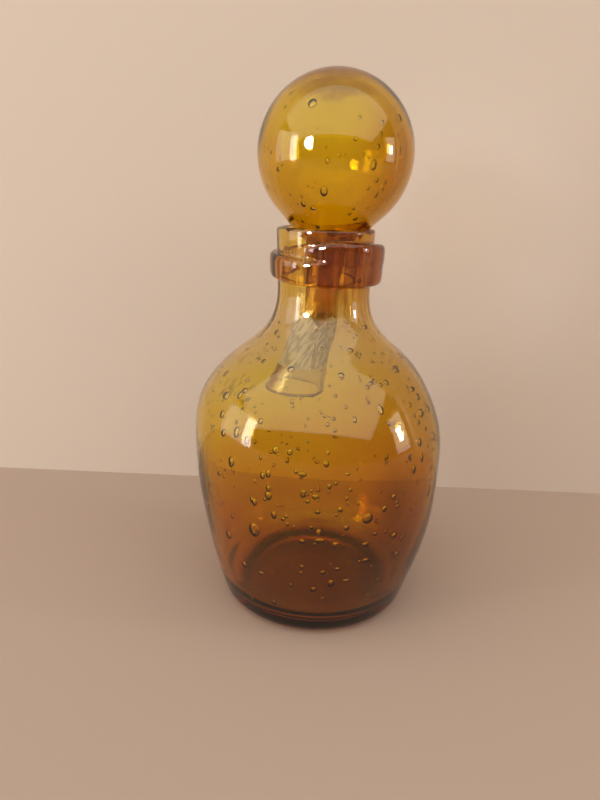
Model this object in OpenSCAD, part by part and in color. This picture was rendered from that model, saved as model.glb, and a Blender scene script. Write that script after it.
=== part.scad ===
// Hand-blown decanter with a hollow ball stopper and a glass trail round its neck.
// The origin is the centre of the base, on the surface that the decanter stands on.

/* [Body] */
// Width of the flat that stands on the surface
foot_d = 89.4; // [84:0.2:96]
// Radius of the rounded heel
heel_r = 10; // [7:0.5:12]
// Angle of the wall from upright, just above the heel
heel_lean = 16; // [8:1:20]
// Length of wall that leaves the heel nearly straight
heel_run = 32; // [20:1:40]
// Height of the widest level of the belly
belly_h = 95.4; // [88:0.2:104]
// Width of the belly
belly_d = 136.2; // [130:0.2:142]
// Length of wall that stays nearly upright below the widest level
belly_run_down = 40; // [25:1:45]
// Length of wall that stays nearly upright above the widest level
belly_run_up = 16; // [8:1:20]
// Rise from the widest level to the turn, where the shoulder changes from full to hollow
shoulder_rise = 47.3; // [42:0.1:55]
// Width of the shoulder at the turn
shoulder_d = 90.2; // [84:0.2:96]
// Angle of the shoulder from upright at the turn
shoulder_lean = 50.7; // [45:0.1:55]
// Length of nearly straight shoulder below the turn
shoulder_run_down = 21.8; // [14:0.1:24]
// Length of nearly straight shoulder above the turn
shoulder_run_up = 14.3; // [10:0.1:16]

/* [Neck] */
// Rise from the shoulder's turn to the neck's waist
throat_rise = 33.1; // [30:0.1:38]
// Width of the neck at its waist
neck_d = 48; // [46.5:0.1:49.5]
// Length of wall that comes nearly upright into the waist
throat_run = 19.7; // [12:0.1:22]
// Rise from the waist to the top of the mouth
mouth_rise = 31.2; // [28:0.1:36]
// Width of the mouth
mouth_d = 50; // [49:0.1:53]

/* [Glass] */
// Thickness of the wall just above the heel
heel_wall = 4.8; // [4:0.1:6]
// Thickness of the wall at the belly
body_wall = 3.4; // [2.8:0.1:4.4]
// Thickness of the wall at the shoulder's turn
shoulder_wall = 2.6; // [2.2:0.1:3.6]
// Thickness of the wall at the neck and the mouth
neck_wall = 3.5; // [3:0.1:3.8]
// Thickness of the base over the standing flat
base_thick = 7; // [5.5:0.5:10]
// Inner radius where the floor turns up into the wall
floor_r = 16; // [12:0.5:20]
// Width of the shallow hollow under the base
punt_d = 76; // [40:1:78]
// Height of the shallow hollow under the base
punt_h = 3; // [1:0.5:5]

/* [Neck trail] */
// Distance from the top of the mouth down to the middle of the trail where it starts
trail_drop = 10.4; // [9:0.1:13]
// How far the trail descends in its first turn round the neck
trail_fall = 10; // [9:0.1:12]
// How far the trail descends after its first turn
trail_last_fall = 1.8; // [0.5:0.1:3]
// Height of the trail's band
trail_h = 12.4; // [11:0.1:14]
// How far the trail stands out from the neck
trail_proud = 4.8; // [3:0.1:6]
// How much further out it stands on its right side, and how much less on its left
trail_bulge = 1; // [0:0.1:1.5]
// How much less the last turn stands out than the turn that is fused on top of it
trail_step_in = 0.3; // [0.2:0.05:0.8]
// How far the last turn reaches up behind the first, where the two are fused
trail_fuse = 4.6; // [3:0.1:6]
// Angle where the trail starts, seen from above and counted from the right
trail_start = 253; // [200:1:300]
// Angle that the trail winds through
trail_wind = 536; // [480:8:560]

/* [Stopper] */
// Width of the ball
ball_d = 76; // [70:0.5:80]
// Thickness of the ball's wall
ball_wall = 4; // [3:0.1:5]
// Angle of the seat cone below the ball, from the stopper's own axis
seat_angle = 45; // [42:1:48]
// Lean of the stopper's axis from upright
stopper_lean = 3; // [1:0.5:4]
// Distance of the stopper's axis from the middle of the mouth
stopper_shift = 1.4; // [0.5:0.1:2]
// Gap between the seat cone and the lip that it rests on
seat_gap = 0.3; // [0.2:0.05:0.5]
// Width of the bore through the stopper's collar
collar_bore_d = 9; // [6:0.5:12]

/* [Shank] */
// Length of the shank below the collar
shank_len = 76; // [60:1:80]
// Width of the shank at the collar
shank_top_d = 19; // [17:0.2:21]
// Length from the collar down to the shank's narrowest level
shank_waist_drop = 20.5; // [16:0.5:24]
// Width of the shank at its narrowest level
shank_waist_d = 17.6; // [16:0.2:19]
// Length from the collar down to the shank's ground part
shank_body_drop = 48.6; // [44:0.2:54]
// Width of the shank's ground part
shank_body_d = 24; // [22:0.2:26]
// Width of the flared open end
shank_end_d = 32.6; // [28:0.2:33]
// Thickness of the shank's wall
shank_wall = 2.2; // [1.4:0.1:3]
// Distance that the shank's open end has bent off the stopper's axis
shank_bend = 10.6; // [8:0.1:11.5]

/* [Hidden] */
$fn = 96;

// A cubic curve with p0 and p3 as its ends and p1 and p2 as its pulls.
function curve_at(p0, p1, p2, p3, t) =
    pow(1 - t, 3) * p0 + 3 * pow(1 - t, 2) * t * p1 + 3 * (1 - t) * t * t * p2 + pow(t, 3) * p3;
function curve(p0, p1, p2, p3, steps) = [for (i = [0:steps]) curve_at(p0, p1, p2, p3, i / steps)];
// A round arc, from one angle to another.
function arc(centre, radius, from, to, steps) = [for (i = [0:steps]) let (
    angle = from + (to - from) * i / steps
) centre + radius * [cos(angle), sin(angle)]];
// The list without its first entry, for curves that share an end.
function rest(list) = [for (i = [1:len(list) - 1]) list[i]];

// Heights of the levels that the outline is drawn through.
shoulder_h = belly_h + shoulder_rise;
waist_h = shoulder_h + throat_rise;
mouth_h = waist_h + mouth_rise;
lip_r = neck_wall / 2;
lip_h = mouth_h - lip_r;

// The outline of the outside wall, from the heel to the lip, as [radius, height].
heel_centre = [foot_d / 2, heel_r];
heel_end = heel_centre + heel_r * [cos(heel_lean), -sin(heel_lean)];
belly_point = [belly_d / 2, belly_h];
turn_point = [shoulder_d / 2, shoulder_h];
turn_way = [-sin(shoulder_lean), cos(shoulder_lean)];
waist_point = [neck_d / 2, waist_h];
lip_centre = [mouth_d / 2 - lip_r, lip_h];
neck_way = let (run = [mouth_d / 2, lip_h] - waist_point) run / norm(run);
lower_wall = curve(heel_end, heel_end + heel_run * [sin(heel_lean), cos(heel_lean)],
    belly_point - [0, belly_run_down], belly_point, 14);
upper_wall = curve(belly_point, belly_point + [0, belly_run_up],
    turn_point - shoulder_run_down * turn_way, turn_point, 12);
throat = curve(turn_point, turn_point + shoulder_run_up * turn_way,
    waist_point - throat_run * neck_way, waist_point, 12);
wall_line = concat(lower_wall, rest(upper_wall), rest(throat));

// The inside wall is the outside wall moved inwards by a thickness that changes with height.
function wall_at(h) = lookup(h, [[heel_r, heel_wall], [belly_h, body_wall],
    [shoulder_h, shoulder_wall], [waist_h, neck_wall]]);
function inwards(line, i) = let (
    before = line[max(i - 1, 0)],
    after = line[min(i + 1, len(line) - 1)],
    way = (after - before) / norm(after - before)
) line[i] + wall_at(line[i][1]) * [-way[1], way[0]];
// The floor's turn ends where it meets the inside wall, so lower wall points are left out.
floor_end_h = base_thick + floor_r;
inside_wall = [for (i = [0:len(wall_line) - 1]) let (p = inwards(wall_line, i)) if (p[1] > floor_end_h) p];
floor_centre = [inside_wall[0][0] - floor_r, floor_end_h];

// The hollow under the base is part of a large ball.
punt_r = (pow(punt_d / 2, 2) + pow(punt_h, 2)) / (2 * punt_h);
punt_angle = asin(punt_d / 2 / punt_r);

bottle_outline = concat(
    arc([0, punt_h - punt_r], punt_r, 90, 90 - punt_angle, 8),
    [heel_centre - [0, heel_r]],
    rest(arc(heel_centre, heel_r, -90, -heel_lean, 6)),
    rest(wall_line),
    arc(lip_centre, lip_r, 0, 180, 10),
    [for (i = [len(inside_wall) - 1:-1:0]) inside_wall[i]],
    rest(arc(floor_centre, floor_r, 0, -90, 6)),
    [[0, base_thick]]
);

module bottle() {
    color("goldenrod")
    rotate_extrude()
        polygon(bottle_outline);
}

// The neck's outside radius at a height between the waist and the lip.
function neck_r(h) = neck_d / 2 + (mouth_d - neck_d) / 2 * (h - waist_h) / (lip_h - waist_h);

// Where the trail's middle lies, and how thick it is, at an angle along its winding.
trail_end_turn = 64;
trail_tip_turn = 26;
trail_tip_size = 0.3;
trail_end_size = 0.3;
fuse_from = 368;
fuse_turn = 32;
function ramp(v) = let (t = max(0, min(1, v))) t * t * (3 - 2 * t);
function trail_mid(a) = mouth_h - trail_drop - trail_fall * min(a / 360, 1)
    - trail_last_fall * max(a - 360, 0) / (trail_wind - 360);
function trail_size(a) = min(1, trail_tip_size + (1 - trail_tip_size) * a / trail_tip_turn,
    trail_end_size + (1 - trail_end_size) * (trail_wind - a) / trail_end_turn);
function trail_out(a) = trail_size(a) * (trail_proud + trail_bulge * cos(trail_start + a))
    - trail_step_in * ramp((a - fuse_from + fuse_turn) / fuse_turn);
function trail_up(a) = trail_size(a) * (trail_h / 2 + trail_fuse * ramp((a - fuse_from) / fuse_turn));
function trail_down(a) = trail_size(a) * trail_h / 2;

// How far one turn stands out at a height: a band with a flat face and round edges.
edge_power = 4;
function band_out(a, h) = let (
    drop = h - trail_mid(a),
    share = min(1, abs(drop) / (drop > 0 ? trail_up(a) : trail_down(a)))
) trail_out(a) * pow(1 - pow(share, edge_power), 1 / edge_power);

// The section at an angle round the neck, where one or two turns lie fused on each other.
// A thin skin of glass joins them in the groove, and the back lies on the neck.
trail_step = 5;
trail_rows = 18;
trail_skin = 0.3;
trail_back_gap = 0.02;
function trail_section(a) = let (
    turns = a + 360 <= trail_wind ? [a, a + 360] : [a],
    low = min([for (t = turns) trail_mid(t) - trail_down(t)]),
    high = max([for (t = turns) trail_mid(t) + trail_up(t)])
) concat(
    [for (i = [0:trail_rows]) let (
        h = low + (high - low) * (1 - cos(180 * i / trail_rows)) / 2
    ) [neck_r(h) + max(concat(trail_skin, [for (t = turns) band_out(t, h)])), h]],
    [for (h = [high, low]) [neck_r(h) / cos(trail_step / 2) + trail_back_gap, h]]
);
function turned(section, angle) =
    [for (p = section) [p[0] * cos(trail_start + angle), p[0] * sin(trail_start + angle), p[1]]];

// A closed solid through rings of points, which all have the same number of points.
module ring_of_rings(rings) {
    count = len(rings[0]);
    total = len(rings);
    faces = [for (k = [0:total - 1], i = [0:count - 1]) let (
        a = k * count + i,
        b = k * count + (i + 1) % count,
        c = (k + 1) % total * count + i,
        d = (k + 1) % total * count + (i + 1) % count
    ) each [[a, b, d], [a, d, c]]];
    polyhedron([for (ring = rings, p = ring) p], faces);
}

module neck_trail() {
    color("saddlebrown")
    ring_of_rings([for (a = [0:trail_step:360 - trail_step]) turned(trail_section(a), a)]);
}

// The seat cone touches the ball all round and rests on the lip at one side,
// which sets how high the ball's centre stands over the mouth, along the stopper's axis.
ball_r = ball_d / 2;
seat_to_world = seat_angle + stopper_lean;
ball_rise = (ball_r + lip_r + seat_gap - (lip_centre[0] - stopper_shift) * cos(seat_to_world)
    - lip_r * sin(seat_to_world)) / sin(seat_angle);

// Puts what is drawn round the stopper's own axis, with the ball's centre at the origin, in its place.
module stopper_place() {
    translate([stopper_shift, 0, mouth_h])
    rotate([0, stopper_lean, 0])
    translate([0, 0, ball_rise])
        children();
}

// How far below the ball's centre a cone that touches a ball of radius r is as wide as w.
function cone_drop(r, w) = (r - w / 2 * cos(seat_angle)) / sin(seat_angle);
collar_drop = cone_drop(ball_r, shank_top_d);
cavity_r = ball_r - ball_wall;

module stopper_ball() {
    color("goldenrod")
    stopper_place()
    rotate_extrude()
        polygon(concat(
            arc([0, 0], ball_r, 90, -seat_angle, 27),
            [[shank_top_d / 2, -collar_drop], [collar_bore_d / 2, -collar_drop],
                [collar_bore_d / 2, -cone_drop(cavity_r, collar_bore_d)]],
            arc([0, 0], cavity_r, -seat_angle, 90, 27)
        ));
}

// The shank's radius at a length below the collar, through four widths. The flare opens ever faster.
flare_power = 1.6;
function ease(a, b, t) = a + (b - a) * t * t * (3 - 2 * t);
function shank_r(drop) = 0.5 * (
    drop < shank_waist_drop ? ease(shank_top_d, shank_waist_d, drop / shank_waist_drop) :
    drop < shank_body_drop ? ease(shank_waist_d, shank_body_d,
        (drop - shank_waist_drop) / (shank_body_drop - shank_waist_drop)) :
    shank_body_d + (shank_end_d - shank_body_d)
        * pow((drop - shank_body_drop) / (shank_len - shank_body_drop), flare_power)
);
shank_rings = 20;
shank_sides = 32;
function shank_ring(drop, inset, lower) = [for (i = [0:shank_sides - 1]) let (
    a = 360 * i / shank_sides,
    r = shank_r(drop) - inset
) [r * cos(a) - shank_bend * pow(drop / shank_len, 2), r * sin(a), -drop - lower]];

module stopper_shank() {
    levels = [for (k = [0:shank_rings]) shank_len * k / shank_rings];
    color("thistle")
    stopper_place()
    translate([0, 0, -collar_drop])
        ring_of_rings(concat(
            [for (drop = levels) shank_ring(drop, 0, 0)],
            [shank_ring(shank_len, shank_wall / 2, shank_wall / 2)],
            [for (k = [shank_rings:-1:0]) shank_ring(levels[k], shank_wall, 0)]
        ));
}

bottle();
neck_trail();
stopper_ball();
stopper_shank();
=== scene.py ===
"""A hand-blown amber glass decanter with a ball stopper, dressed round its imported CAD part.

Sizes in the shape functions are in millimetres. Meshes are written in metres.
"""

import bpy
import numpy as np
from mathutils import Matrix


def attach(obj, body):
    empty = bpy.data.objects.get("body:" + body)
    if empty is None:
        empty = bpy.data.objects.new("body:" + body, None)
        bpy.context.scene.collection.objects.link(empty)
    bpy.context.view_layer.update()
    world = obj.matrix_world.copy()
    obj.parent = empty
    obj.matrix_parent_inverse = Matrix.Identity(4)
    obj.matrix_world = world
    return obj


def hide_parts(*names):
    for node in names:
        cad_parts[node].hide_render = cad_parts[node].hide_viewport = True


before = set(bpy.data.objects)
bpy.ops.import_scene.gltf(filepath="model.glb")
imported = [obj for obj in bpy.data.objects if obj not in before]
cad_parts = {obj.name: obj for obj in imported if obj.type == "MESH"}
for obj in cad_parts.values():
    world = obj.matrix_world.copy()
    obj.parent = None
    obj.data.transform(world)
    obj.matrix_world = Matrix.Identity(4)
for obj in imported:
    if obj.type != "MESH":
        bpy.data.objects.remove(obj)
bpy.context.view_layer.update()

MM = 0.001
RNG = np.random.default_rng(7)
COLUMNS = 200  # faces round the bottle


def sin(angle):
    """Sine of an angle in degrees."""
    return np.sin(np.radians(angle))


def cos(angle):
    """Cosine of an angle in degrees."""
    return np.cos(np.radians(angle))


# sizes of the bottle
FOOT_R, HEEL_R, HEEL_LEAN, HEEL_RUN = 44.7, 10.0, 16.0, 32.0
BELLY_R, BELLY_H, BELLY_DOWN, BELLY_UP = 68.1, 95.4, 40.0, 16.0
TURN_R, TURN_H, TURN_LEAN, TURN_DOWN, TURN_UP = 45.1, 142.7, 50.7, 21.8, 14.3
WAIST_R, WAIST_H, THROAT_RUN = 24.0, 175.8, 19.7
MOUTH_R, MOUTH_H, NECK_WALL = 25.0, 207.0, 3.5
LIP_R = NECK_WALL / 2
LIP_H = MOUTH_H - LIP_R
WALL_LEVELS = [HEEL_R, BELLY_H, TURN_H, WAIST_H]
WALL_SIZES = [4.8, 3.4, 2.6, NECK_WALL]
BASE_THICK, FLOOR_R = 7.0, 16.0
PUNT_R, PUNT_H = 38.0, 3.0

# sizes of the neck's trail
TRAIL_DROP, TRAIL_FALL, TRAIL_LAST_FALL = 10.4, 10.0, 1.8
TRAIL_HALF, TRAIL_PROUD, TRAIL_BULGE = 6.2, 4.8, 1.0
TRAIL_STEP_IN, TRAIL_FUSE = 0.3, 4.6
TRAIL_START, TRAIL_WIND, TIP_ROUND, TRAIL_ROWS_FROM = 253.0, 536.0, 6.5, 172.0
TRAIL_END_TURN, TRAIL_TIP_TURN, TRAIL_TIP, TRAIL_END = 64.0, 26.0, 0.3, 0.3
FUSE_FROM, FUSE_TURN = 368.0, 32.0
EDGE_POWER = 4.0

# sizes of the stopper
BALL_R, BALL_WALL, SEAT = 38.0, 4.0, 45.0
STOPPER_LEAN, STOPPER_SHIFT, SEAT_GAP = 3.0, 1.4, 0.3
COLLAR_R, BORE_R = 9.5, 4.5
SHANK_LEN, SHANK_BEND, SHANK_WALL = 76.0, 10.6, 2.2
SHANK_LEVELS = [0.0, 20.5, 48.6]
SHANK_RADII = [9.5, 8.8, 12.0, 16.3]
FLARE_POWER = 1.6
GROUND_FROM, GROUND_TO = 33.5, 62.0
TOOTH_AT, TOOTH_HALF, TOOTH_LEN = 282.0, 30.0, 6.5
RIM = 1.0

# unevenness of hand-blown glass
LEANS = [(1.15, 46, 27), (-1.8, 122, 17), (0.3, 0, 14)]  # sideways, height of its middle, reach
# a ripple's size, lobes round the axis, turn in radians, and turn for each mm of height
OUTSIDE_RIPPLES = [(0.14, 2, 0.9, 0.011), (0.08, 3, -1.1, -0.017), (0.03, 5, 0.0, 0.045)]
INSIDE_RIPPLES = [(0.20, 2, 2.2, -0.013), (0.09, 4, -0.6, 0.021), (0.03, 7, 1.7, -0.05)]
NECK_FLUTES = [(0.12, 7, 0.4, 0.0), (0.09, 11, 2.1, 0.02), (0.05, 19, 0.0, 0.03), (0.03, 29, 1.0, 0.0)]
FLUTES_FROM, FLUTES_FULL = 140.0, 165.0
SEED_COUNT, SLENDER_COUNT, SLENDER_GROUPS, BALL_SEED_COUNT = 430, 80, 16, 60


# curves
def bezier(p0, p1, p2, p3, count=80):
    """Cubic curve: its four points weighted by (1-t)^3, 3(1-t)^2 t, 3(1-t)t^2 and t^3."""
    t = np.linspace(0, 1, count)[:, None]
    points = [np.asarray(p, float) for p in (p0, p1, p2, p3)]
    weights = [(1 - t) ** 3, 3 * (1 - t) ** 2 * t, 3 * (1 - t) * t**2, t**3]
    return sum(w * p for w, p in zip(weights, points))


def arc(centre, radius, start, stop, count):
    """Round arc in the (radius, height) plane, between two angles in degrees."""
    a = np.linspace(start, stop, count)
    return np.stack([centre[0] + radius * cos(a), centre[1] + radius * sin(a)], -1)


def along(line, step):
    """The line's points placed again at equal steps of its own length."""
    run = np.r_[0, np.cumsum(np.hypot(*np.diff(line, axis=0).T))]
    s = np.linspace(0, run[-1], max(2, int(round(run[-1] / step)) + 1))
    return np.stack([np.interp(s, run, line[:, i]) for i in (0, 1)], -1)


def softened(line, step, reach):
    """Gaussian mean along an evenly spaced line, with the ends held by mirroring about them."""
    n = int(4 * reach / step)
    kernel = np.exp(-0.5 * (np.arange(-n, n + 1) * step / reach) ** 2)
    kernel /= kernel.sum()
    head = 2 * line[0] - line[n:0:-1]
    tail = 2 * line[-1] - line[-2:-n - 2:-1]
    padded = np.concatenate([head, line, tail])
    return np.stack([np.convolve(padded[:, i], kernel, "valid") for i in (0, 1)], -1)


def fade(v, start, end):
    """3t^2 - 2t^3, where t goes from 0 at start to 1 at end and is held there."""
    t = np.clip((v - start) / (end - start), 0, 1)
    return t * t * (3 - 2 * t)


# outline of the bottle
def outside_line():
    """Heel arc, three cubic runs and the neck's straight side, from the foot to the lip.
    A Gaussian mean of 5 mm evens out the curvature over the belly and the shoulder."""
    heel = arc((FOOT_R, HEEL_R), HEEL_R, -90, -HEEL_LEAN, 40)
    heel_end = heel[-1]
    belly, turn, waist = np.array([(BELLY_R, BELLY_H), (TURN_R, TURN_H), (WAIST_R, WAIST_H)])
    turn_way = np.array([-sin(TURN_LEAN), cos(TURN_LEAN)])
    heel_way = np.array([sin(HEEL_LEAN), cos(HEEL_LEAN)])
    neck_way = np.array([MOUTH_R - WAIST_R, LIP_H - WAIST_H])
    neck_way /= np.hypot(*neck_way)
    lower = bezier(heel_end, heel_end + HEEL_RUN * heel_way, (BELLY_R, BELLY_H - BELLY_DOWN), belly)
    upper = bezier(belly, (BELLY_R, BELLY_H + BELLY_UP), turn - TURN_DOWN * turn_way, turn)
    throat = bezier(turn, turn + TURN_UP * turn_way, waist - THROAT_RUN * neck_way, waist)
    raw = np.concatenate([heel, lower[1:], upper[1:], throat[1:], [[MOUTH_R, LIP_H]]])
    step, reach = 0.5, 5.0
    raw = along(raw, step)
    even = softened(raw, step, reach)
    share = fade(raw[:, 1], 16, 41) * fade(raw[:, 1], 186, 166)
    return raw + (even - raw) * share[:, None]


OUTSIDE = outside_line()


def wall_at(h):
    """Wall thickness at a height, straight between the named levels."""
    return np.interp(h, WALL_LEVELS, WALL_SIZES)


def inside_line():
    """The outside line moved inwards along its normal by the wall, cut where the floor's arc starts."""
    way = np.gradient(OUTSIDE, axis=0)
    way /= np.hypot(*way.T)[:, None]
    line = OUTSIDE + wall_at(OUTSIDE[:, 1])[:, None] * np.stack([-way[:, 1], way[:, 0]], -1)
    line = line[OUTSIDE[:, 1] > HEEL_R]
    return line[line[:, 1] > BASE_THICK + FLOOR_R]


INSIDE = inside_line()


def outside_r(h):
    """Outside radius of the bottle at a height above its heel."""
    above = OUTSIDE[:, 1] > HEEL_R
    return np.interp(h, OUTSIDE[above, 1], OUTSIDE[above, 0])


# the neck's trail. Its angles count from its tip, along its wind.
def trail_mid(a):
    """Height of the band's middle, which falls fast over the first turn and slowly after it."""
    return (MOUTH_H - TRAIL_DROP - TRAIL_FALL * np.minimum(a / 360, 1)
            - TRAIL_LAST_FALL * np.maximum(a - 360, 0) / (TRAIL_WIND - 360))


def trail_size(a):
    """Share of the full band, which starts small at the tip and thins out at the end."""
    tip = TRAIL_TIP + (1 - TRAIL_TIP) * a / TRAIL_TIP_TURN
    end = TRAIL_END + (1 - TRAIL_END) * (TRAIL_WIND - a) / TRAIL_END_TURN
    return np.clip(np.minimum(tip, end), 1e-3, 1)


def trail_out(a):
    """How far the band's middle stands out from the neck."""
    return (trail_size(a) * (TRAIL_PROUD + TRAIL_BULGE * cos(TRAIL_START + a))
            - TRAIL_STEP_IN * fade(a, FUSE_FROM - FUSE_TURN, FUSE_FROM))


def trail_up(a):
    """Half height above the band's middle. Over the last half turn it reaches up into the first."""
    return trail_size(a) * (TRAIL_HALF + TRAIL_FUSE * fade(a, FUSE_FROM, FUSE_FROM + FUSE_TURN))


def trail_down(a):
    """Half height below the band's middle."""
    return trail_size(a) * TRAIL_HALF


def band_out(a, h):
    """How far a turn stands out at a height: out * (1 - |drop / half height|^4)^(1/4)."""
    drop = h - trail_mid(a)
    share = np.clip(np.abs(drop) / np.where(drop > 0, trail_up(a), trail_down(a)), 0, 1)
    return trail_out(a) * (1 - share**EDGE_POWER) ** (1 / EDGE_POWER)


def trail_edges(a):
    """Lowest and highest level of the one or two turns at an angle round the neck."""
    twice = a + 360 <= TRAIL_WIND
    low = np.where(twice, trail_mid(a + 360) - trail_down(a + 360), trail_mid(a) - trail_down(a))
    high = trail_mid(a) + trail_up(a)
    high = np.where(twice, np.maximum(high, trail_mid(a + 360) + trail_up(a + 360)), high)
    low = np.where(twice, np.minimum(low, trail_mid(a) - trail_down(a)), low)
    return low, high


def trail_relief(a, h):
    """The larger stand-out of the turns at (angle, height)."""
    first = band_out(a, h)
    second = np.where(a + 360 <= TRAIL_WIND, band_out(a + 360, h), 0)
    return np.maximum(first, second)


# unevenness of hand-blown glass
def centre_drift(h):
    """Sideways drift of the section's centre: the sum of side * exp(-((height - middle) / reach)^2)."""
    return sum(side * np.exp(-((h - middle) / reach) ** 2) for side, middle, reach in LEANS)


def ripples(kinds, a, h):
    """The sum of size * cos(lobes * angle + turn + slide * height)."""
    return sum(size * np.cos(lobes * a + turn + slide * h) for size, lobes, turn, slide in kinds)


def outside_waver(a, h):
    """Slow ripples of the outside, from above the foot to the neck."""
    return fade(h, 6, 26) * fade(h, 178, 158) * ripples(OUTSIDE_RIPPLES, a, h)


def inside_waver(a, h):
    """Ripples of the inside: slow ones in the body, and upright flutes in the neck."""
    rings = 0.12 * np.cos(0.075 * h + 1.3 * np.cos(a))
    slow = fade(h, 20, 45) * fade(h, 168, 143) * (ripples(INSIDE_RIPPLES, a, h) + rings)
    return slow + fade(h, FLUTES_FROM, FLUTES_FULL) * ripples(NECK_FLUTES, a, h)


# meshes
def grid_faces(rows, columns, closed_rows=False):
    """Four-cornered faces between neighbouring rows of a grid that is closed round its columns."""
    k = np.arange(rows if closed_rows else rows - 1)[:, None]
    j = np.arange(columns)[None, :]
    nk, nj = (k + 1) % rows, (j + 1) % columns
    corners = [k * columns + j, k * columns + nj, nk * columns + nj, nk * columns + j]
    return np.stack(corners, -1).reshape(-1, 4)


def fan_faces(tip, ring, outward):
    """Three-cornered faces from a pole to a ring of vertex numbers."""
    near, far = ring, np.roll(ring, -1)
    tips = np.full(len(ring), tip)
    return np.stack([tips, near, far] if outward else [tips, far, near], -1)


def add_piece(name, points, quads, triangles=(), slots=None):
    """Writes a mesh, in metres, with smooth faces, and links its object at the origin. The slots are
    each face's material number, quads first."""
    quads = np.asarray(quads, int).reshape(-1, 4)
    triangles = np.asarray(triangles, int).reshape(-1, 3)
    mesh = bpy.data.meshes.new(name)
    loops = np.concatenate([quads.ravel(), triangles.ravel()])
    sizes = np.r_[np.full(len(quads), 4), np.full(len(triangles), 3)]
    mesh.vertices.add(len(points))
    mesh.vertices.foreach_set("co", (np.asarray(points) * MM).ravel())
    mesh.loops.add(len(loops))
    mesh.loops.foreach_set("vertex_index", loops)
    mesh.polygons.add(len(sizes))
    mesh.polygons.foreach_set("loop_start", np.r_[0, np.cumsum(sizes)[:-1]])
    mesh.polygons.foreach_set("loop_total", sizes)
    mesh.polygons.foreach_set("use_smooth", np.ones(len(sizes), bool))
    if slots is not None:
        mesh.polygons.foreach_set("material_index", slots.ravel().astype(int))
    mesh.update(calc_edges=True)
    mesh.validate()
    obj = bpy.data.objects.new(name, mesh)
    bpy.context.scene.collection.objects.link(obj)
    return obj


# bubbles in the glass
def bubble_pattern(columns, rings):
    """Unit ball as rings of latitude with a vertex at each pole, its faces turned inwards."""
    lat = np.linspace(-90, 90, rings + 2)[1:-1]
    lon = np.arange(columns) * 360 / columns
    lat, lon = np.meshgrid(lat, lon, indexing="ij")
    body = np.stack([cos(lat) * cos(lon), cos(lat) * sin(lon), sin(lat)], -1).reshape(-1, 3)
    points = np.concatenate([body, [[0, 0, -1], [0, 0, 1]]])
    quads = grid_faces(rings, columns)[:, ::-1]
    last = (rings - 1) * columns
    low = fan_faces(len(body), np.arange(columns), outward=True)
    high = fan_faces(len(body) + 1, np.arange(last, last + columns), outward=False)
    return points, quads, np.concatenate([low, high])


SEED, BUBBLE = bubble_pattern(columns=9, rings=5), bubble_pattern(columns=18, rings=10)


def bubbles(pattern, centres, ways, radii):
    """One closed shell for each centre: the unit ball stretched by three radii along three ways."""
    ball, quads, triangles = pattern
    points = (centres[:, None] + np.einsum("pk,nk,nki->npi", ball, radii, ways)).reshape(-1, 3)
    shift = (np.arange(len(centres)) * len(ball))[:, None, None]
    return points, (quads + shift).reshape(-1, 4), (triangles + shift).reshape(-1, 3)


def with_bubbles(points, quads, triangles, *groups):
    """The piece's mesh and each group of bubbles in one list of points and faces, and the faces' slots:
    0 for the piece and 1 for the bubbles."""
    own = len(quads), len(triangles)
    for p, q, t in groups:
        start = len(points)
        points = np.concatenate([points, p])
        quads = np.concatenate([quads, q + start])
        triangles = np.concatenate([triangles, t + start])
    slots = np.r_[np.arange(len(quads)) >= own[0], np.arange(len(triangles)) >= own[1]]
    return points, quads, triangles, slots


# the bottle with its trail
def bottle_rows():
    """The columns' angles, the radius and height of each row of the section, and how many of the rows
    are outside. Rows over the trail follow its edges, so they change with the angle."""
    a = np.arange(COLUMNS) * 360 / COLUMNS
    wind = np.mod(a - TRAIL_START, 360)
    low, high = trail_edges(wind)
    # the tongue's blunt front takes a few degrees instead of one column
    tip_high = trail_edges(np.zeros(1))[1]
    near = fade(wind, 360 - TIP_ROUND, 360)
    high = high + (np.maximum(tip_high, high) - high) * near

    def flat(line):
        return np.repeat(line[:, :1], COLUMNS, 1), np.repeat(line[:, 1:], COLUMNS, 1)

    punt_radius = (PUNT_R**2 + PUNT_H**2) / (2 * PUNT_H)
    punt_angle = np.degrees(np.arcsin(PUNT_R / punt_radius))
    under = arc((0, PUNT_H - punt_radius), punt_radius, 90, 90 - punt_angle, 14)[1:]
    under = np.concatenate([under, [[PUNT_R + 0.7, 0], [FOOT_R - 2, 0]]])
    below = along(OUTSIDE[OUTSIDE[:, 1] < TRAIL_ROWS_FROM + 0.01], 1.5)
    rows = [flat(under), flat(below)]
    start = np.full(COLUMNS, TRAIL_ROWS_FROM)
    lip = np.full(COLUMNS, LIP_H)
    bands = [(start, low, np.linspace(0, 1, 8)[1:-1]),
             (low, high, (1 - np.cos(np.pi * np.linspace(0, 1, 53))) / 2),
             (high, lip, np.linspace(0, 1, 9)[1:])]
    for lower, upper, share in bands:
        h = lower + (upper - lower) * share[:, None]
        relief = trail_relief(wind[None], h)
        # the front of the tongue rises from the neck over the same few degrees
        tip = band_out(np.zeros(1), h) * near[None]
        rows.append((outside_r(h) + np.maximum(relief, tip), h))
    lip_arc = arc((MOUTH_R - LIP_R, LIP_H), LIP_R, 0, 180, 12)[1:-1]
    rows.append(flat(lip_arc))
    outer_count = sum(len(r[0]) for r in rows)
    inner = along(INSIDE[::-1], 2.4)
    floor = arc((INSIDE[0, 0] - FLOOR_R, BASE_THICK + FLOOR_R), FLOOR_R, 0, -90, 12)
    flat_floor = np.stack([np.linspace(floor[-1, 0], 0, 9)[1:-1], np.full(7, BASE_THICK)], -1)
    rows += [flat(inner), flat(floor[1:]), flat(flat_floor)]
    radius = np.concatenate([r[0] for r in rows])
    height = np.concatenate([r[1] for r in rows])
    return np.radians(a), radius, height, outer_count


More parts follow.
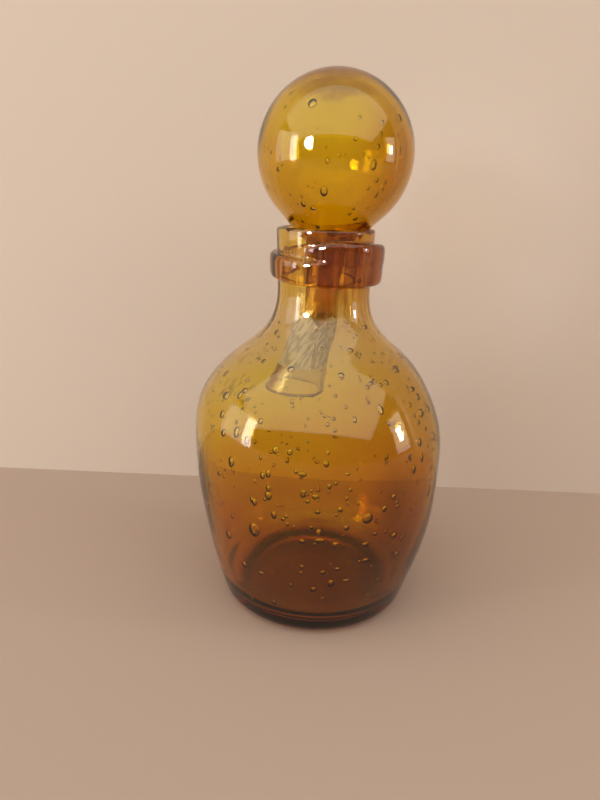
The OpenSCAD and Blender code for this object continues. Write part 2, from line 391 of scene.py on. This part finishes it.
def body_surface(a, radius, height, is_outside):
    """Point at an angle: the section's radius plus its ripples, round a centre that drifts."""
    inside = inside_waver(a, height)
    body = np.where(is_outside, outside_waver(a, height), inside * fade(radius, 20, 30))
    neck = np.where(is_outside, 0, inside) * fade(height, FLUTES_FROM, FLUTES_FULL)
    r = radius + np.where(height > 150, neck, body)
    return np.stack([r * np.cos(a) + centre_drift(height), r * np.sin(a), height], -1)


# The larger bubbles of the front: angle from the right, height, width and upright size of each.
FRONT_BUBBLES = [
    (243, 66, 6.2, 8.0), (292, 77, 5.5, 5.8), (226, 55, 4.3, 4.8), (272, 66, 4.5, 2.6),
    (292, 62, 3.6, 3.1), (293, 52, 3.7, 2.7), (285, 40, 3.6, 2.3), (234, 40, 3.8, 3.8),
    (244, 39, 3.9, 2.0), (220, 128, 5.2, 4.2), (223, 120, 3.1, 4.1), (330, 132, 5.1, 2.6),
    (332, 128, 4.0, 3.7), (302, 128, 3.4, 4.9), (329, 121, 5.3, 4.2), (339, 120, 4.9, 2.9),
    (321, 109, 3.3, 4.5), (321, 101, 2.7, 4.6), (335, 107, 4.1, 4.7), (330, 79, 3.9, 6.7),
    (265, 101, 3.9, 2.7), (315, 97, 2.9, 4.5), (244, 82, 2.7, 4.0), (270, 90, 3.2, 3.0),
    (304, 86, 2.5, 3.1), (283, 73, 2.9, 3.1), (254, 111, 3.3, 3.8), (260, 111, 2.8, 3.4),
    (271, 82, 2.8, 2.4), (278, 97, 2.2, 1.9)]


def in_wall(pattern, a, h, wide, tall):
    """Bubbles halfway through the body's wall, flattened to fit in it. Angles are in radians, and wide
    and tall are half widths and half heights."""
    slope = outside_r(h + 0.5) - outside_r(h - 0.5)
    up = np.stack([slope * np.cos(a), slope * np.sin(a), np.ones_like(a)], -1)
    up /= np.linalg.norm(up, axis=1)[:, None]
    side = np.stack([-np.sin(a), np.cos(a), np.zeros_like(a)], -1)
    out = np.cross(side, up)
    wall, r = wall_at(h), outside_r(h)
    thick = np.minimum(wide * 0.55, wall * 0.21)
    surface = np.stack([r * np.cos(a) + centre_drift(h), r * np.sin(a), h], -1)
    ways, radii = np.stack([side, up, out], 1), np.stack([wide, tall, thick], -1)
    return bubbles(pattern, surface - out * (wall * 0.5)[:, None], ways, radii)


def bottle_bubbles():
    """Seeds all round the body's wall, most of them small and drawn out upwards, slender ones where the
    shoulder was drawn in to the neck, and the larger bubbles of the front."""
    count = SEED_COUNT
    h = RNG.beta(1.25, 1.2, count) * 148 + 14
    a = RNG.uniform(0, 2 * np.pi, count)
    wide = np.clip(RNG.lognormal(-0.12, 0.42, count), 0.35, 1.9)
    tall = wide * np.clip(RNG.normal(1.2, 0.26, count), 0.8, 2.2)
    seeds = in_wall(SEED, a, h, wide, tall)
    count = SLENDER_COUNT
    group = RNG.uniform(0, 2 * np.pi, SLENDER_GROUPS)
    level = RNG.uniform(122, 166, SLENDER_GROUPS)
    pick = RNG.integers(0, SLENDER_GROUPS, count)
    a = group[pick] + RNG.normal(0, 0.07, count)
    h = np.clip(level[pick] + RNG.normal(0, 3, count), 112, 172)
    slender = in_wall(SEED, a, h, RNG.uniform(0.22, 0.42, count), RNG.uniform(1.2, 3.0, count))
    a, h, wide, tall = np.array(FRONT_BUBBLES, float).T
    return seeds, slender, in_wall(BUBBLE, np.radians(a), h, wide / 2, tall / 2)


def make_bottle():
    """Closed shell: outside, lip and inside as one grid, with a pole under the base and one inside."""
    a, radius, height, outer_count = bottle_rows()
    rows = len(radius)
    outside = (np.arange(rows) < outer_count)[:, None]
    grid = body_surface(a[None], radius, height, outside).reshape(-1, 3)
    # columns run with the angle and rows run up the outside, so the faces look outwards
    quads = grid_faces(rows, COLUMNS)
    low_pole, high_pole = len(grid), len(grid) + 1
    poles = np.array([[centre_drift(0.0), 0, PUNT_H], [centre_drift(BASE_THICK), 0, BASE_THICK]])
    points = np.concatenate([grid, poles])
    ring = np.arange(COLUMNS)
    triangles = np.concatenate([fan_faces(low_pole, ring, outward=False),
                                fan_faces(high_pole, ring + (rows - 1) * COLUMNS, outward=True)])
    return add_piece("bottle_glass", *with_bubbles(points, quads, triangles, *bottle_bubbles()))


# the stopper
def stopper_place(points):
    """From the stopper's own frame, with the ball's centre at its origin, to its place in the mouth."""
    world = SEAT + STOPPER_LEAN
    rise = (BALL_R + LIP_R + SEAT_GAP - (MOUTH_R - LIP_R - STOPPER_SHIFT) * cos(world)
            - LIP_R * sin(world)) / sin(SEAT)
    x, y, z = points[..., 0], points[..., 1], points[..., 2] + rise
    return np.stack([x * cos(STOPPER_LEAN) + z * sin(STOPPER_LEAN) + STOPPER_SHIFT, y,
                     z * cos(STOPPER_LEAN) - x * sin(STOPPER_LEAN) + MOUTH_H], -1)


def cone_drop(ball, width):
    """Depth below a ball's centre at which a cone that touches the ball has this radius."""
    return (ball - width * cos(SEAT)) / sin(SEAT)


COLLAR_DROP = cone_drop(BALL_R, COLLAR_R)


# The larger bubbles of the ball's front: to the right, up, width and upright size of each.
BALL_BUBBLES = [
    (17.5, -5.0, 2.8, 4.6), (-4.0, -18.0, 3.4, 5.0), (27.5, 16.5, 2.4, 3.2), (19.5, 13.2, 1.7, 2.1),
    (19.3, 8.0, 1.4, 2.5), (29.0, 2.5, 1.3, 3.2), (-12.5, 18.5, 4.0, 4.4), (9.0, 14.0, 1.5, 1.9),
    (-8.5, -26.0, 2.6, 2.2), (12.0, -29.0, 2.4, 2.6), (9.0, -27.0, 1.6, 1.8), (-3.6, -5.0, 2.0, 2.6),
    (-13.0, -32.0, 1.7, 2.1), (20.5, -17.5, 1.6, 3.0), (-5.5, -34.0, 2.0, 3.6)]


def ball_bubbles():
    """Seeds in the ball's wall, most of them in its lower half, and the larger ones of its front."""
    def in_ball(pattern, lat, lon, wide, tall):
        out = np.stack([cos(lat) * cos(lon), cos(lat) * sin(lon), sin(lat)], -1)
        side = np.stack([-sin(lon), cos(lon), 0 * lon], -1)
        ways = np.stack([side, np.cross(out, side), out], 1)
        radii = np.stack([wide, tall, np.minimum(wide * 0.55, 0.8)], -1)
        return bubbles(pattern, out * (BALL_R - BALL_WALL / 2), ways, radii)

    count = BALL_SEED_COUNT
    lat = np.clip(RNG.normal(-14, 30, count), -40, 75)
    lon = RNG.uniform(0, 360, count)
    wide = np.clip(RNG.lognormal(-0.55, 0.45, count), 0.28, 1.2)
    seeds = in_ball(SEED, lat, lon, wide, wide * RNG.uniform(1.0, 1.5, count))
    right, up, wide, tall = np.array(BALL_BUBBLES).T
    lat = np.degrees(np.arcsin(up / BALL_R))
    lon = np.degrees(np.arctan2(-np.sqrt(BALL_R**2 - right**2 - up**2), right))
    return seeds, in_ball(BUBBLE, lat, lon, wide / 2, tall / 2)


def make_ball():
    """Closed shell turned round the stopper's axis: ball, seat cone, collar, bore and the hollow."""
    inner_r = BALL_R - BALL_WALL
    seat_way = np.array([cos(SEAT), -sin(SEAT)])
    collar, bore_low = np.array([COLLAR_R, -COLLAR_DROP]), np.array([BORE_R, -COLLAR_DROP])
    bore_high = np.array([BORE_R, -cone_drop(inner_r, BORE_R)])
    cone = along(np.array([BALL_R * seat_way, collar]), 1.2)[1:-1]
    outside = np.concatenate([arc((0, 0), BALL_R, 89, -SEAT, 70), cone])
    rounding = 0.6
    turn = arc((COLLAR_R - rounding, -COLLAR_DROP + rounding), rounding, -SEAT, -90, 4)
    funnel = along(np.array([bore_high, inner_r * seat_way]), 1.5)[1:-1]
    inside = np.concatenate([funnel, arc((0, 0), inner_r, -SEAT, 88, 56)])
    line = np.concatenate([outside, turn, [bore_low], [bore_high], inside])
    rows, columns = len(line), 128
    radius, level = line[:, :1], line[:, 1:]
    ring = np.arange(columns)
    a = ring[None] * 2 * np.pi / columns
    in_hollow = np.arange(rows)[:, None] > len(outside) + 6
    r = radius + 0.12 * np.cos(2 * a + 0.7) * np.cos(np.radians(level * 2.2)) * fade(radius, 0, 20)
    r = r + in_hollow * 0.22 * np.cos(3 * a + 0.09 * level) * fade(radius, 8, 22)
    points = np.stack([r * np.cos(a), r * np.sin(a), level + 0 * a], -1).reshape(-1, 3)
    poles = np.array([[0, 0, BALL_R], [0, 0, inner_r]])
    quads = grid_faces(rows, columns)[:, ::-1]
    triangles = np.concatenate([fan_faces(len(points), ring, outward=True),
                                fan_faces(len(points) + 1, ring + (rows - 1) * columns, outward=False)])
    points = np.concatenate([points, poles])
    points, *faces = with_bubbles(points, quads, triangles, *ball_bubbles())
    return add_piece("stopper_ball_glass", stopper_place(points), *faces)


def shank_r(drop):
    """Radius below the collar: eased from width to width, then a flare that opens by a power."""
    top, waist, flare = SHANK_LEVELS
    top_r, waist_r, flare_r, end_r = SHANK_RADII
    opened = np.maximum((drop - flare) / (SHANK_LEN - flare), 0) ** FLARE_POWER
    return (top_r + (waist_r - top_r) * fade(drop, top, waist)
            + (flare_r - waist_r) * fade(drop, waist, flare) + (end_r - flare_r) * opened)


def make_shank():
    """Closed tube whose centre bends by the square of the length: outside, rounded end, inside and top.
    The outside is ground over its middle, up to an edge with one pointed tooth at the front, and the
    rim of its open end is darker."""
    columns, count = 96, 100
    a = np.arange(columns)[None] * 2 * np.pi / columns
    drop = np.linspace(0, SHANK_LEN, count)
    lip = np.linspace(0, 180, 9)[1:-1]
    half = SHANK_WALL / 2
    # one column of rows: down the outside, round the lip and up the inside
    inset = np.r_[0 * drop, half * (1 - cos(lip)), np.full(count, SHANK_WALL)][:, None]
    level = np.r_[drop, SHANK_LEN + 0 * lip, drop[::-1]][:, None]
    lower = np.r_[0 * drop, half * sin(lip), 0 * drop][:, None]
    row = np.arange(len(level))[:, None]
    flutes = np.abs(0.14 * np.cos(5 * a + 0.5) + 0.1 * np.cos(8 * a + 1.9)) * fade(level, 0, 12)
    ripple = 0.24 * np.cos(3 * a + 0.11 * level) * fade(level, 8, 28)
    r = shank_r(level) - inset + np.where(row > count, ripple, -flutes)
    bend = SHANK_BEND * (level / SHANK_LEN) ** 2
    z = -COLLAR_DROP - level - lower + 0 * a
    points = np.stack([r * np.cos(a) - bend, r * np.sin(a), z], -1).reshape(-1, 3)
    quads = grid_faces(len(level), columns, closed_rows=True)[:, ::-1]
    tooth = np.clip(1 - np.abs(np.degrees(a) - TOOTH_AT) / TOOTH_HALF, 0, 1)
    edge = GROUND_FROM + TOOTH_LEN * tooth + 0.5 * np.cos(3 * a + 1.0)
    ground = (level > edge) & (level < GROUND_TO) & (row < count)
    rim = (level > SHANK_LEN - RIM) & (row < count + len(lip)) & ~ground
    return add_piece("stopper_shank_glass", stopper_place(points), quads, slots=ground + 2 * rim)


# materials
IOR = 1.51
CLEAR_GLASS = {"Transmission Weight": 1.0, "IOR": IOR, "Roughness": 0.0}
RAMP_TOP = 0.3  # the height in metres at which every colour ramp ends
# what amber glass lets through of each colour, and how densely it takes up the rest, per metre
AMBER, AMBER_DEPTH = (0.955, 0.87, 0.66), 430.0


def link(tree, source, target):
    tree.links.new(source, target)


def shaded(name, sockets):
    """A new material whose shader has the given plain values in its sockets, with its node tree."""
    material = bpy.data.materials.new(name)
    material.use_nodes = True
    shader = material.node_tree.nodes["Principled BSDF"]
    for socket, value in sockets.items():
        shader.inputs[socket].default_value = value
    return material, material.node_tree, shader


def add_relief(tree, shader, height, depth):
    """A bump, this deep in metres, from a height between 0 and 1."""
    bump = tree.nodes.new("ShaderNodeBump")
    bump.inputs["Distance"].default_value = depth
    link(tree, height, bump.inputs["Height"])
    link(tree, bump.outputs["Normal"], shader.inputs["Normal"])


def maths(tree, operation, *values, clamp=False):
    """A Math node whose inputs are sockets or plain numbers."""
    node = tree.nodes.new("ShaderNodeMath")
    node.operation, node.use_clamp = operation, clamp
    for socket, value in zip(node.inputs, values):
        if isinstance(value, (int, float)):
            socket.default_value = value
        else:
            link(tree, value, socket)
    return node.outputs[0]


def step_between(tree, value, low, high):
    """0 below one level, 1 above another, and a smooth step between them."""
    node = tree.nodes.new("ShaderNodeMapRange")
    node.interpolation_type = "SMOOTHSTEP"
    link(tree, value, node.inputs["Value"])
    node.inputs["From Min"].default_value, node.inputs["From Max"].default_value = low, high
    return node.outputs["Result"]


def blend(tree, share, first, second, kind="MIX"):
    """A colour mix whose inputs are sockets or plain colours."""
    node = tree.nodes.new("ShaderNodeMix")
    node.data_type, node.blend_type = "RGBA", kind
    sockets = node.inputs["Factor"], node.inputs[6], node.inputs[7]
    for socket, value in zip(sockets, (share, first, second)):
        if isinstance(value, (int, float)):
            socket.default_value = value
        elif isinstance(value, tuple):
            socket.default_value = (*value, 1)
        else:
            link(tree, value, socket)
    return node.outputs[2]


def darkened(tree, share, colour, by):
    """The colour, multiplied by another where the share is 1."""
    return blend(tree, share, colour, blend(tree, 1.0, colour, by, "MULTIPLY"))


def inverse(tree, value):
    """1 less the value."""
    return maths(tree, "SUBTRACT", 1.0, value)


def drawn_group():
    """Where a point lies in drawn glass: its height shifted by slow clouds and upright streaks (Level),
    its distance from the upright axis (Radius), its place from left to right (Side), the streaks
    (Streak) and their relief (Height)."""
    group = bpy.data.node_groups.new("drawn_glass", "ShaderNodeTree")
    for name in ("Clouds", "Streaks", "Fineness"):
        group.interface.new_socket(name, in_out="INPUT", socket_type="NodeSocketFloat")
    for name in ("Level", "Radius", "Side", "Streak", "Height"):
        group.interface.new_socket(name, in_out="OUTPUT", socket_type="NodeSocketFloat")
    n = group.nodes
    entry, leave = n.new("NodeGroupInput"), n.new("NodeGroupOutput")
    place, split = n.new("ShaderNodeTexCoord"), n.new("ShaderNodeSeparateXYZ")
    link(group, place.outputs["Object"], split.inputs[0])
    clouds = n.new("ShaderNodeTexNoise")
    clouds.inputs["Scale"].default_value = 28.0
    clouds.inputs["Detail"].default_value = 2.0
    link(group, place.outputs["Object"], clouds.inputs["Vector"])
    stretch = n.new("ShaderNodeMapping")
    stretch.inputs["Scale"].default_value = (1.0, 1.0, 0.07)
    link(group, place.outputs["Object"], stretch.inputs["Vector"])
    streaks = n.new("ShaderNodeTexNoise")
    streaks.inputs["Detail"].default_value = 3.0
    streaks.inputs["Roughness"].default_value = 0.6
    link(group, entry.outputs["Fineness"], streaks.inputs["Scale"])
    link(group, stretch.outputs[0], streaks.inputs["Vector"])
    centred = [maths(group, "SUBTRACT", noise.outputs["Fac"], 0.5) for noise in (clouds, streaks)]
    shift = [maths(group, "MULTIPLY", noise, entry.outputs[amount])
             for noise, amount in zip(centred, ("Clouds", "Streaks"))]
    level = maths(group, "ADD", split.outputs["Z"], maths(group, "ADD", *shift))
    link(group, level, leave.inputs["Level"])
    squares = [maths(group, "MULTIPLY", split.outputs[k], split.outputs[k]) for k in "XY"]
    link(group, maths(group, "SQRT", maths(group, "ADD", *squares)), leave.inputs["Radius"])
    link(group, split.outputs["X"], leave.inputs["Side"])
    link(group, step_between(group, streaks.outputs["Fac"], 0.47, 0.60), leave.inputs["Streak"])
    link(group, streaks.outputs["Fac"], leave.inputs["Height"])
    return group


DRAWN = drawn_group()


def drawn_glass(name, clouds, streaks, fineness, relief, transmission=1.0):
    """Clear glass with the relief of its streaks. The caller adds a surface tint."""
    material, tree, shader = shaded(name, {**CLEAR_GLASS, "Transmission Weight": transmission})
    drawn = tree.nodes.new("ShaderNodeGroup")
    drawn.node_tree = DRAWN
    for socket, value in (("Clouds", clouds), ("Streaks", streaks), ("Fineness", fineness)):
        drawn.inputs[socket].default_value = value
    add_relief(tree, shader, drawn.outputs["Height"], relief)
    return material, tree, shader, drawn.outputs


def fill_with_amber(tree):
    """The glass takes up colour along the light's way through it."""
    depth = tree.nodes.new("ShaderNodeVolumeAbsorption")
    depth.inputs["Color"].default_value = (*AMBER, 1)
    depth.inputs["Density"].default_value = AMBER_DEPTH
    link(tree, depth.outputs[0], tree.nodes["Material Output"].inputs["Volume"])


def height_tint(tree, level, stops):
    """A colour ramp over the height, with its stops in metres."""
    ramp = tree.nodes.new("ShaderNodeValToRGB")
    ramp.color_ramp.interpolation = "EASE"
    link(tree, maths(tree, "DIVIDE", level, RAMP_TOP), ramp.inputs["Fac"])
    marks = ramp.color_ramp.elements
    while len(marks) < len(stops):
        marks.new(1.0)
    for mark, (height, colour) in zip(marks, stops):
        mark.position, mark.color = height / RAMP_TOP, (*colour, 1)
    return ramp.outputs["Color"]


def amber_body():
    """The bottle: deep brown at the heel, partly its own tint and partly painted shade; painted shade
    makes its right side darker and its lower right darkest. Then amber over the belly, pale at the
    shoulder, and golden with brown streaks in the neck and the trail, with painted shade on their
    right."""
    material, tree, shader, drawn = drawn_glass("amber_glass_body", 0.02, 0.012, 250.0, 0.00004)
    fill_with_amber(tree)
    # the ramp darkens towards the heel: partly the glass's own tint, partly painted shade from the
    # shadowed floor under the bottle
    colour = height_tint(tree, drawn["Level"], [
        (0.000, (0.64, 0.34, 0.02)), (0.022, (0.86, 0.50, 0.02)), (0.060, (0.97, 0.70, 0.02)),
        (0.090, (1.00, 0.92, 0.03)), (0.112, (1.00, 0.99, 0.20)), (0.136, (1.00, 1.00, 0.74)),
        (0.162, (1.00, 1.00, 0.88)), (0.180, (1.00, 0.98, 0.48))])
    # painted shade: the body's right side is darkened
    right = step_between(tree, drawn["Side"], -0.012, 0.060)
    colour = darkened(tree, right, colour, (0.88, 0.76, 0.40))
    heel = maths(tree, "MULTIPLY", step_between(tree, drawn["Radius"], 0.036, 0.043),
                 inverse(tree, step_between(tree, drawn["Level"], 0.016, 0.034)))
    colour = blend(tree, heel, colour, (0.98, 0.68, 0.04))
    neck = step_between(tree, drawn["Level"], 0.150, 0.182)
    # the neck's streaks are a quarter as strong on its left
    strength = maths(tree, "MULTIPLY_ADD", step_between(tree, drawn["Side"], -0.022, 0.016), 0.75, 0.25)
    brown = maths(tree, "MULTIPLY", maths(tree, "MULTIPLY", neck, drawn["Streak"]), strength)
    colour = blend(tree, brown, colour, (0.72, 0.46, 0.10))
    trail = step_between(tree, drawn["Radius"], 0.0256, 0.0272)
    trail = maths(tree, "MULTIPLY", trail, step_between(tree, drawn["Level"], 0.165, 0.180))
    streaked = blend(tree, drawn["Streak"], (0.96, 0.82, 0.30), (0.30, 0.15, 0.08))
    colour = blend(tree, trail, colour, streaked)
    # painted shade: the neck's right side is darkened, and the trail's right side more so
    side = maths(tree, "MULTIPLY", neck, step_between(tree, drawn["Side"], 0.000, 0.024))
    colour = darkened(tree, side, colour, (0.86, 0.74, 0.30))
    side = maths(tree, "MULTIPLY", side, trail)
    colour = darkened(tree, side, colour, (0.80, 0.70, 0.60))
    # painted shade: the heel is darkest at its lower right
    slant = maths(tree, "MULTIPLY_ADD", drawn["Level"], -0.35, drawn["Side"])
    painted_shade_lower_right = maths(tree, "MULTIPLY", step_between(tree, slant, 0.018, 0.050),
                   inverse(tree, step_between(tree, drawn["Level"], 0.030, 0.080)))
    colour = darkened(tree, painted_shade_lower_right, colour, (0.40, 0.26, 0.30))
    link(tree, colour, shader.inputs["Base Color"])
    return material


def amber_ball():
    """The ball: deep golden amber, browner at its seat, with painted shade browning its top and its
    right.
    """
    material, tree, shader, drawn = drawn_glass("amber_glass_ball", 0.02, 0.006, 200.0, 0.00002)
    fill_with_amber(tree)
    # the last two stops darken the ball's top: painted shade
    colour = height_tint(tree, drawn["Level"], [
        (0.196, (0.70, 0.44, 0.03)), (0.212, (0.88, 0.74, 0.03)), (0.226, (0.92, 0.82, 0.03)),
        (0.243, (0.93, 0.86, 0.05)), (0.258, (0.98, 1.00, 0.18)), (0.2695, (0.95, 0.96, 0.18)),
        (0.2745, (0.52, 0.39, 0.14)), (0.279, (0.30, 0.20, 0.11))])
    # painted shade: the ball's right side is darkened
    right = step_between(tree, drawn["Side"], 0.006, 0.042)
    link(tree, darkened(tree, right, colour, (0.80, 0.66, 0.50)), shader.inputs["Base Color"])
    return material


def pale_shank():
    """The shank's clear parts: brown amber under its collar, pale at its flared end, and golden brown
    down the flare's left edge."""
    material, tree, shader, drawn = drawn_glass("pale_glass_shank", 0.002, 0.004, 420.0, 0.0002,
                                                transmission=0.9)
    colour = height_tint(tree, drawn["Level"], [
        (0.130, (0.97, 0.92, 0.96)), (0.148, (0.94, 0.88, 0.92)), (0.157, (0.88, 0.62, 0.12)),
        (0.176, (0.84, 0.54, 0.08)), (0.205, (0.66, 0.38, 0.06))])
    # the flare's left edge runs outwards by 0.383 of its height
    slant = maths(tree, "MULTIPLY_ADD", drawn["Level"], -0.383, drawn["Side"])
    edge = maths(tree, "MULTIPLY", inverse(tree, step_between(tree, slant, -0.0735, -0.0700)),
                 inverse(tree, step_between(tree, drawn["Level"], 0.150, 0.160)))
    colour = blend(tree, edge, colour, (0.60, 0.34, 0.05))
    link(tree, colour, shader.inputs["Base Color"])
    return material


def ground_shank():
    """The shank's ground middle: grey glass, scored by slanting strokes of the wheel."""
    material, tree, shader = shaded("ground_glass_shank", {**CLEAR_GLASS, "Transmission Weight": 0.35})
    place, turn = tree.nodes.new("ShaderNodeTexCoord"), tree.nodes.new("ShaderNodeMapping")
    turn.inputs["Rotation"].default_value = (0.0, 0.62, 0.0)
    turn.inputs["Scale"].default_value = (1.0, 1.0, 5.0)
    turn.vector_type = "TEXTURE"
    link(tree, place.outputs["Object"], turn.inputs["Vector"])
    strokes = tree.nodes.new("ShaderNodeTexNoise")
    strokes.inputs["Scale"].default_value = 640.0
    strokes.inputs["Detail"].default_value = 3.0
    link(tree, turn.outputs[0], strokes.inputs["Vector"])
    score = step_between(tree, strokes.outputs["Fac"], 0.44, 0.58)
    colour = blend(tree, score, (0.47, 0.44, 0.58), (0.82, 0.79, 0.92))
    link(tree, colour, shader.inputs["Base Color"])
    link(tree, maths(tree, "MULTIPLY_ADD", score, 0.2, 0.32), shader.inputs["Roughness"])
    add_relief(tree, shader, strokes.outputs["Fac"], 0.0006)
    return material


def bubble_skin():
    """The bubbles' surface: clear, so that only the glass round them has colour."""
    return shaded("clear_bubble", {**CLEAR_GLASS, "Base Color": (1, 1, 1, 1)})[0]


def dark_rim():
    """The rim of the shank's flared end, darker where it was sheared and melted smooth."""
    return shaded("rim_glass_shank", {**CLEAR_GLASS, "Base Color": (0.42, 0.33, 0.30, 1)})[0]


# the room, in metres
ROOM_HALF, ROOM_HIGH, BACKDROP_BEHIND = 3.0, 2.4, 0.131


def matt(name, colour):
    """A dull, plain surface."""
    return shaded(name, {"Base Color": (*colour, 1), "Roughness": 0.9, "Specular IOR Level": 0.2})[0]


def stage_plane(name, corners, material):
    """One face of the room, which stays put and isn't part of the decanter."""
    mesh = bpy.data.meshes.new(name)
    mesh.from_pydata(corners, [], [(0, 1, 2, 3)])
    obj = bpy.data.objects.new(name, mesh)
    bpy.context.scene.collection.objects.link(obj)
    mesh.materials.append(material)
    return obj


def one_sided(material):
    """Lets light and sight through from behind, so the backdrop never hides the decanter."""
    tree = material.node_tree
    shader, out = tree.nodes["Principled BSDF"], tree.nodes["Material Output"]
    clear, mix, side = (tree.nodes.new("ShaderNode" + kind)
                        for kind in ("BsdfTransparent", "MixShader", "NewGeometry"))
    link(tree, side.outputs["Backfacing"], mix.inputs[0])
    link(tree, shader.outputs[0], mix.inputs[1])
    link(tree, clear.outputs[0], mix.inputs[2])
    link(tree, mix.outputs[0], out.inputs["Surface"])


def make_room():
    """A plain pale floor and wall, and a weak even light from all round."""
    half, high, far = ROOM_HALF, ROOM_HIGH, BACKDROP_BEHIND
    stage_plane("floor", [(-half, -half, 0), (half, -half, 0), (half, half, 0), (-half, half, 0)],
                matt("pale_floor", (0.39, 0.295, 0.235)))
    wall = matt("pale_backdrop", (0.66, 0.555, 0.47))
    one_sided(wall)
    corners = [(-half, far, 0), (half, far, 0), (half, far, high), (-half, far, high)]
    stage_plane("backdrop", corners, wall)
    world = bpy.data.worlds.new("room")
    bpy.context.scene.world = world
    world.use_nodes = True
    sky = world.node_tree.nodes["Background"]
    sky.inputs["Color"].default_value = (1.0, 0.86, 0.66, 1)
    sky.inputs["Strength"].default_value = 0.24


def stand(obj, right, up, back, spot):
    """Links an object to the scene, with its own three axes turned to these, at a spot."""
    bpy.context.scene.collection.objects.link(obj)
    rows = [[right[i], up[i], back[i], spot[i]] for i in range(3)]
    obj.matrix_world = Matrix(rows + [[0, 0, 0, 1]])


def window(name, azimuth, elevation, distance, width, height, strength,
           colour=(1.0, 0.97, 0.93), aim=0.15):
    """A rectangular lamp that faces a point on the decanter's axis, at the height given as aim, and
    looks as bright as its strength, where 1 is white. Azimuth counts from the front to the right."""
    lamp = bpy.data.lights.new(name, "AREA")
    lamp.shape, lamp.size, lamp.size_y, lamp.color = "RECTANGLE", width, height, colour
    lamp.energy = strength * np.pi * width * height
    obj = bpy.data.objects.new(name, lamp)
    way = np.array([sin(azimuth) * cos(elevation), -cos(azimuth) * cos(elevation), sin(elevation)])
    side = np.cross([0, 0, 1.0], way)
    side /= np.linalg.norm(side)
    stand(obj, side, np.cross(way, side), way, way * distance + np.array([0, 0, aim]))
    return obj


def ball_window():
    """A small window that only the ball mirrors: it lights nothing else and shines in a narrow cone."""
    obj = window("window_ball", -38, 11, 0.45, 0.10, 0.13, 14, aim=0.241)
    obj.data.spread = np.radians(16)
    obj.visible_diffuse = obj.visible_camera = False


def make_camera():
    """The photograph's view: 600 px of focal length on a frame 600 px wide."""
    yaw, pitch, roll = -1.928, 18.706, 1.668
    forward = np.array([sin(yaw) * cos(pitch), cos(yaw) * cos(pitch), -sin(pitch)])
    level = np.array([cos(yaw), -sin(yaw), 0])
    upright = np.cross(level, forward)
    right = cos(roll) * level + sin(roll) * upright
    up = -sin(roll) * level + cos(roll) * upright
    data = bpy.data.cameras.new("camera")
    data.sensor_fit, data.sensor_width, data.lens = "HORIZONTAL", 36.0, 36.0
    data.clip_start = 0.01
    obj = bpy.data.objects.new("camera", data)
    stand(obj, right, up, -forward, np.array([0, -315.76, 221.27]) * MM)
    bpy.context.scene.camera = obj


make_camera()
make_room()
window("window_left", -62, 5, 1.5, 0.26, 0.90, 8)
window("window_left_wide", -75, 4, 1.7, 1.1, 1.3, 2.2)
ball_window()
window("window_right", 82, 9, 1.5, 0.15, 0.22, 30)
window("window_right_wide", 82, 9, 1.6, 0.45, 0.66, 2.4)
window("ceiling", -4, 64, 1.6, 5.2, 2.6, 1.48, (1.0, 0.96, 0.91))

bottle = make_bottle()
clear = bubble_skin()
bottle.data.materials.append(amber_body())
bottle.data.materials.append(clear)
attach(bottle, "bottle_body")
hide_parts("bottle", "neck_trail")

ball = make_ball()
ball.data.materials.append(amber_ball())
ball.data.materials.append(clear)
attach(ball, "stopper")
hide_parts("stopper_ball")

shank = make_shank()
shank.data.materials.append(pale_shank())
shank.data.materials.append(ground_shank())
shank.data.materials.append(dark_rim())
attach(shank, "stopper")
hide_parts("stopper_shank")

bpy.context.scene.view_settings.view_transform = "Standard"
